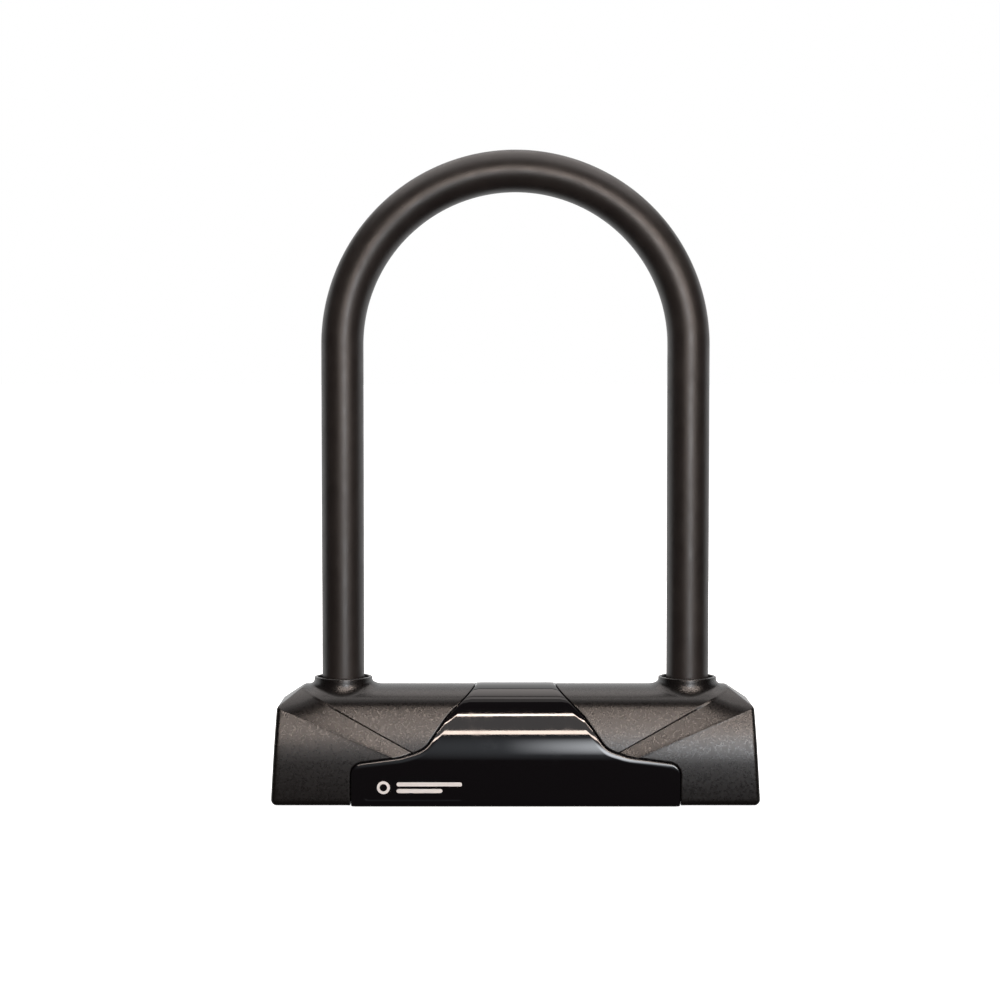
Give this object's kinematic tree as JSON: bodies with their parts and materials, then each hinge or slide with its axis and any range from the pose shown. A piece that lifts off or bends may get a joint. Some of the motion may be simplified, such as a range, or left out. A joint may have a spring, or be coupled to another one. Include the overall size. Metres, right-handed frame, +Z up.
{
  "type": "bicycle u lock",
  "caption": "Bicycle U lock: sleeved steel shackle that pulls out of a plastic-clad crossbar, with a keyed disc core throwing a bolt into each foot.",
  "frame": {"origin": "middle of the crossbar's underside", "axes": "+Z up along the shackle's legs, +X along the crossbar to the right seen from the front, -Y is the front"},
  "size_m": [0.2246, 0.045, 0.3016],
  "materials": {
    "vinyl": "satin vinyl",
    "grained_plastic": "fine spark-eroded grain",
    "gloss_plastic": "high gloss",
    "rubber": "matt",
    "hardened_steel": "ground",
    "zinc_steel": "zinc plated",
    "brass": "machined"
  },
  "bodies": {
    "crossbar": {"crossbar_tube": "hardened_steel", "left_end_plug": "zinc_steel", "right_end_plug": "zinc_steel", "left_cover": "grained_plastic", "right_cover": "grained_plastic", "centre_cover": "gloss_plastic", "left_collar_seal": "rubber", "right_collar_seal": "rubber", "left_foot_socket": "zinc_steel", "right_foot_socket": "zinc_steel", "left_foot_bumper": "rubber", "right_foot_bumper": "rubber", "left_bolt_guide": "zinc_steel", "right_bolt_guide": "zinc_steel", "lock_housing": "zinc_steel", "housing_retainer_pins": "hardened_steel", "keyway_bezel": "grained_plastic", "cover_screws": "zinc_steel"},
    "shackle": {"shackle_bar": "hardened_steel", "shackle_sleeve": "vinyl"},
    "lock_core": {"key_plug": "brass", "drill_plate": "hardened_steel", "detainer_discs": "brass", "disc_spacers": "brass", "sidebar": "hardened_steel", "core_circlip": "hardened_steel", "drive_cam": "hardened_steel"},
    "left_bolt": {"left_bolt": "hardened_steel"},
    "right_bolt": {"right_bolt": "hardened_steel"},
    "shutter": {"dust_shutter": "grained_plastic"}
  },
  "joints": [
    {"name": "shackle_pull", "type": "slide", "parent": "crossbar", "child": "shackle", "axis": [0, 0, 1], "range_m": [0, 0.055]},
    {"name": "core_turn", "type": "hinge", "parent": "crossbar", "child": "lock_core", "pos_m": [0, 0, 0.0155], "axis": [0, 0, -1], "range_deg": [0, 90]},
    {"name": "right_bolt_throw", "type": "slide", "parent": "crossbar", "child": "right_bolt", "axis": [1, 0, 0], "range_m": [0, 0.00636]},
    {"name": "left_bolt_throw", "type": "slide", "parent": "crossbar", "child": "left_bolt", "axis": [-1, 0, 0], "range_m": [0, 0.00636]},
    {"name": "shutter_slide", "type": "slide", "parent": "crossbar", "child": "shutter", "axis": [1, 0, 0], "range_m": [0, 0.0155]}
  ],
  "couplings": [
    {"joint": "core_turn", "follows": "right_bolt_throw", "rad_per_m": 246.82},
    {"joint": "left_bolt_throw", "follows": "right_bolt_throw", "ratio": 1}
  ]
}
